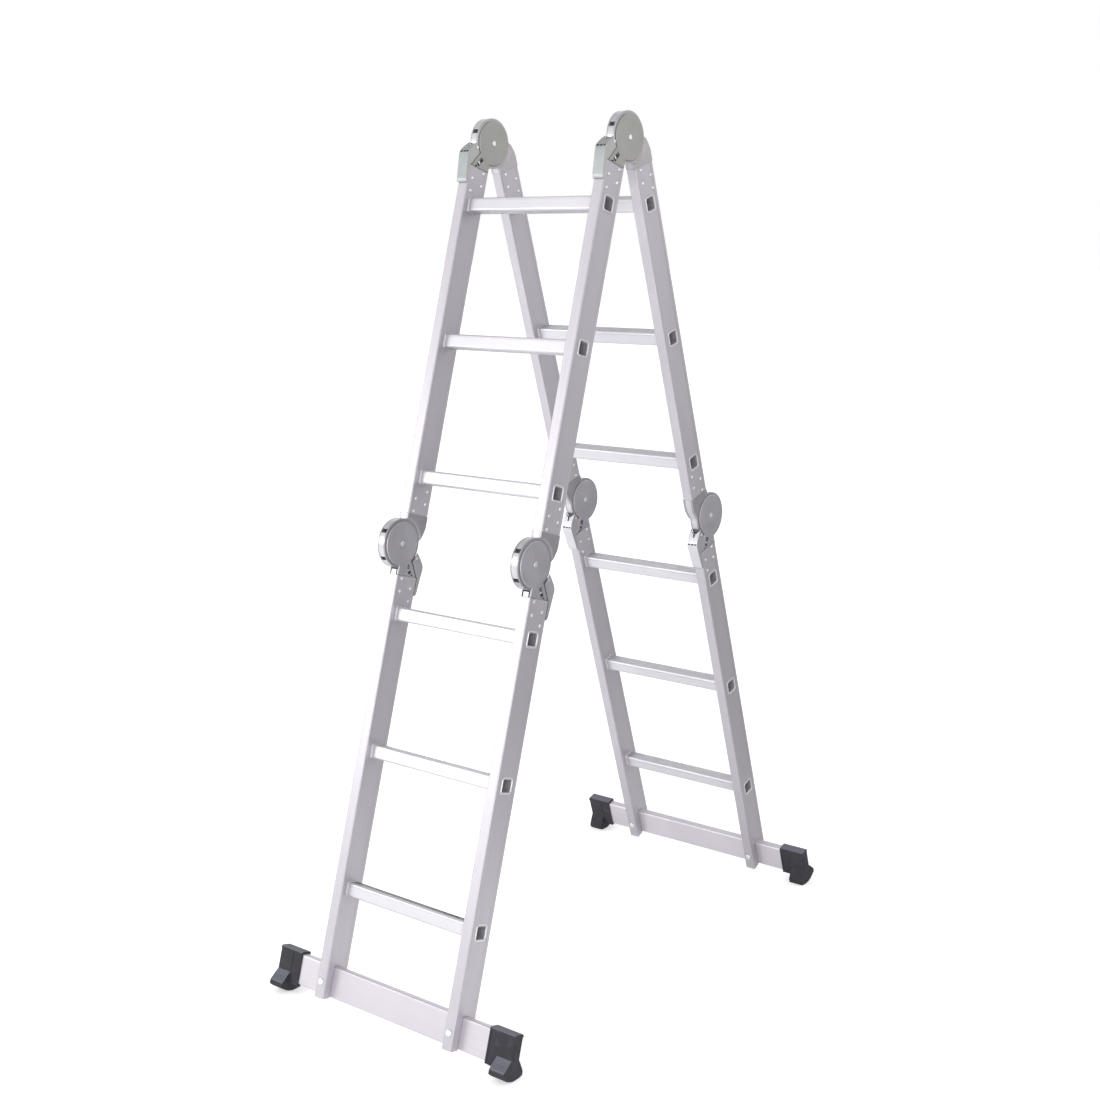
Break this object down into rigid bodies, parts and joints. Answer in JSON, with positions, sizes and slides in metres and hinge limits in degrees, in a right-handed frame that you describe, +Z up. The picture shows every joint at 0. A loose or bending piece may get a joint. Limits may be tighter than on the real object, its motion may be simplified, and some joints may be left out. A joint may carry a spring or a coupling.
{
  "type": "multi position ladder",
  "caption": "Multi position aluminium ladder with stepped locking hinges, square rungs, stabiliser bars and rubber feet, standing as an A frame.",
  "frame": {"origin": "floor point under the middle of the top hinge axis, with the ladder standing as an A frame", "axes": "+X along the rungs to the ladder's right side, +Y from the front legs to the rear legs, +Z up"},
  "size_m": [0.62, 1.1648, 1.7437],
  "materials": {
    "extruded_aluminium": "satin, fine extrusion lines",
    "tread_aluminium": "satin, ribbed treads",
    "rail_aluminium": "satin",
    "foot_rubber": "matt moulded",
    "zinc_fasteners": "bright zinc",
    "spring_steel": "drawn wire",
    "lever_steel": "zinc plated pressing",
    "core_steel": "zinc plated plate",
    "hinge_steel": "zinc plated, satin",
    "top_hinge_steel": "zinc plated, satin",
    "arm_steel": "zinc plated, satin",
    "side_plate_steel": "zinc plated, satin"
  },
  "bodies": {
    "front_lower_section": {"front_right_lower_stile": "extruded_aluminium", "front_left_lower_stile": "extruded_aluminium", "front_lower_rungs": "tread_aluminium", "front_stabiliser_bar": "rail_aluminium", "front_stabiliser_bolts": "zinc_fasteners", "front_right_foot": "foot_rubber", "front_left_foot": "foot_rubber", "front_lower_stile_rivets": "zinc_fasteners", "front_middle_right_hinge_covers": "hinge_steel", "front_middle_left_hinge_covers": "hinge_steel", "front_middle_hinge_pivots": "zinc_fasteners", "front_middle_lever_pins": "zinc_fasteners", "front_middle_lever_springs": "spring_steel"},
    "front_upper_section": {"front_right_upper_stile": "extruded_aluminium", "front_left_upper_stile": "extruded_aluminium", "front_upper_rungs": "tread_aluminium", "front_upper_stile_rivets": "zinc_fasteners", "front_middle_right_hinge_side_plates": "side_plate_steel", "front_middle_left_hinge_side_plates": "side_plate_steel", "front_middle_hinge_notched_plates": "core_steel", "top_right_hinge_covers": "top_hinge_steel", "top_left_hinge_covers": "top_hinge_steel", "top_hinge_pivots": "zinc_fasteners", "top_lever_pins": "zinc_fasteners", "top_lever_springs": "spring_steel"},
    "rear_upper_section": {"rear_right_upper_stile": "extruded_aluminium", "rear_left_upper_stile": "extruded_aluminium", "rear_upper_rungs": "tread_aluminium", "rear_upper_stile_rivets": "zinc_fasteners", "rear_middle_right_hinge_side_plates": "side_plate_steel", "rear_middle_left_hinge_side_plates": "side_plate_steel", "rear_middle_hinge_notched_plates": "core_steel", "top_right_hinge_side_plates": "arm_steel", "top_left_hinge_side_plates": "arm_steel", "top_hinge_notched_plates": "core_steel"},
    "rear_lower_section": {"rear_right_lower_stile": "extruded_aluminium", "rear_left_lower_stile": "extruded_aluminium", "rear_lower_rungs": "tread_aluminium", "rear_stabiliser_bar": "rail_aluminium", "rear_stabiliser_bolts": "zinc_fasteners", "rear_right_foot": "foot_rubber", "rear_left_foot": "foot_rubber", "rear_lower_stile_rivets": "zinc_fasteners", "rear_middle_right_hinge_covers": "hinge_steel", "rear_middle_left_hinge_covers": "hinge_steel", "rear_middle_hinge_pivots": "zinc_fasteners", "rear_middle_lever_pins": "zinc_fasteners", "rear_middle_lever_springs": "spring_steel"},
    "front_middle_right_lever": {"front_middle_right_lever": "hinge_steel"},
    "front_middle_right_lock_bar": {"front_middle_right_lock_bar": "zinc_fasteners"},
    "front_middle_left_lever": {"front_middle_left_lever": "hinge_steel"},
    "front_middle_left_lock_bar": {"front_middle_left_lock_bar": "zinc_fasteners"},
    "top_right_lever": {"top_right_lever": "lever_steel"},
    "top_right_lock_bar": {"top_right_lock_bar": "zinc_fasteners"},
    "top_left_lever": {"top_left_lever": "lever_steel"},
    "top_left_lock_bar": {"top_left_lock_bar": "zinc_fasteners"},
    "rear_middle_right_lever": {"rear_middle_right_lever": "hinge_steel"},
    "rear_middle_right_lock_bar": {"rear_middle_right_lock_bar": "zinc_fasteners"},
    "rear_middle_left_lever": {"rear_middle_left_lever": "hinge_steel"},
    "rear_middle_left_lock_bar": {"rear_middle_left_lock_bar": "zinc_fasteners"}
  },
  "joints": [
    {"name": "front_middle_hinge", "type": "hinge", "parent": "front_lower_section", "child": "front_upper_section", "pos_m": [0, -0.30721, 0.90952], "axis": [-1, 0, 0], "range_deg": [-179, 0]},
    {"name": "top_hinge", "type": "hinge", "parent": "front_upper_section", "child": "rear_upper_section", "pos_m": [0, 0, 1.6937], "axis": [1, 0, 0], "range_deg": [-33, 145.5]},
    {"name": "rear_middle_hinge", "type": "hinge", "parent": "rear_upper_section", "child": "rear_lower_section", "pos_m": [0, 0.30721, 0.90952], "axis": [-1, 0, 0], "range_deg": [-179, 0]},
    {"name": "front_middle_right_lever_pull", "type": "hinge", "parent": "front_lower_section", "child": "front_middle_right_lever", "pos_m": [0.17, -0.26848, 0.87237], "axis": [1, 0, 0], "range_deg": [0, 12], "stiffness_Nm_per_rad": 0.4},
    {"name": "front_middle_right_lock_bar_slide", "type": "slide", "parent": "front_lower_section", "child": "front_middle_right_lock_bar", "axis": [0, 0.2716, -0.9624], "range_m": [0, 0.0058]},
    {"name": "front_middle_left_lever_pull", "type": "hinge", "parent": "front_lower_section", "child": "front_middle_left_lever", "pos_m": [-0.17, -0.26848, 0.87237], "axis": [1, 0, 0], "range_deg": [0, 12], "stiffness_Nm_per_rad": 0.4},
    {"name": "front_middle_left_lock_bar_slide", "type": "slide", "parent": "front_lower_section", "child": "front_middle_left_lock_bar", "axis": [0, 0.2716, -0.9624], "range_m": [0, 0.0058]},
    {"name": "top_right_lever_pull", "type": "hinge", "parent": "front_upper_section", "child": "top_right_lever", "pos_m": [0.17, -0.05296, 1.685], "axis": [-1, 0, 0], "range_deg": [0, 12], "stiffness_Nm_per_rad": 0.4},
    {"name": "top_right_lock_bar_slide", "type": "slide", "parent": "front_upper_section", "child": "top_right_lock_bar", "axis": [0, -0.7687, -0.6396], "range_m": [0, 0.0058]},
    {"name": "top_left_lever_pull", "type": "hinge", "parent": "front_upper_section", "child": "top_left_lever", "pos_m": [-0.17, -0.05296, 1.685], "axis": [-1, 0, 0], "range_deg": [0, 12], "stiffness_Nm_per_rad": 0.4},
    {"name": "top_left_lock_bar_slide", "type": "slide", "parent": "front_upper_section", "child": "top_left_lock_bar", "axis": [0, -0.7687, -0.6396], "range_m": [0, 0.0058]},
    {"name": "rear_middle_right_lever_pull", "type": "hinge", "parent": "rear_lower_section", "child": "rear_middle_right_lever", "pos_m": [0.17, 0.26848, 0.87237], "axis": [-1, 0, 0], "range_deg": [0, 12], "stiffness_Nm_per_rad": 0.4},
    {"name": "rear_middle_right_lock_bar_slide", "type": "slide", "parent": "rear_lower_section", "child": "rear_middle_right_lock_bar", "axis": [0, -0.2716, -0.9624], "range_m": [0, 0.0058]},
    {"name": "rear_middle_left_lever_pull", "type": "hinge", "parent": "rear_lower_section", "child": "rear_middle_left_lever", "pos_m": [-0.17, 0.26848, 0.87237], "axis": [-1, 0, 0], "range_deg": [0, 12], "stiffness_Nm_per_rad": 0.4},
    {"name": "rear_middle_left_lock_bar_slide", "type": "slide", "parent": "rear_lower_section", "child": "rear_middle_left_lock_bar", "axis": [0, -0.2716, -0.9624], "range_m": [0, 0.0058]}
  ],
  "couplings": [
    {"joint": "front_middle_right_lock_bar_slide", "follows": "front_middle_right_lever_pull", "m_per_rad": 0.0272},
    {"joint": "front_middle_left_lock_bar_slide", "follows": "front_middle_left_lever_pull", "m_per_rad": 0.0272},
    {"joint": "top_right_lock_bar_slide", "follows": "top_right_lever_pull", "m_per_rad": 0.0272},
    {"joint": "top_left_lock_bar_slide", "follows": "top_left_lever_pull", "m_per_rad": 0.0272},
    {"joint": "rear_middle_right_lock_bar_slide", "follows": "rear_middle_right_lever_pull", "m_per_rad": 0.0272},
    {"joint": "rear_middle_left_lock_bar_slide", "follows": "rear_middle_left_lever_pull", "m_per_rad": 0.0272}
  ]
}
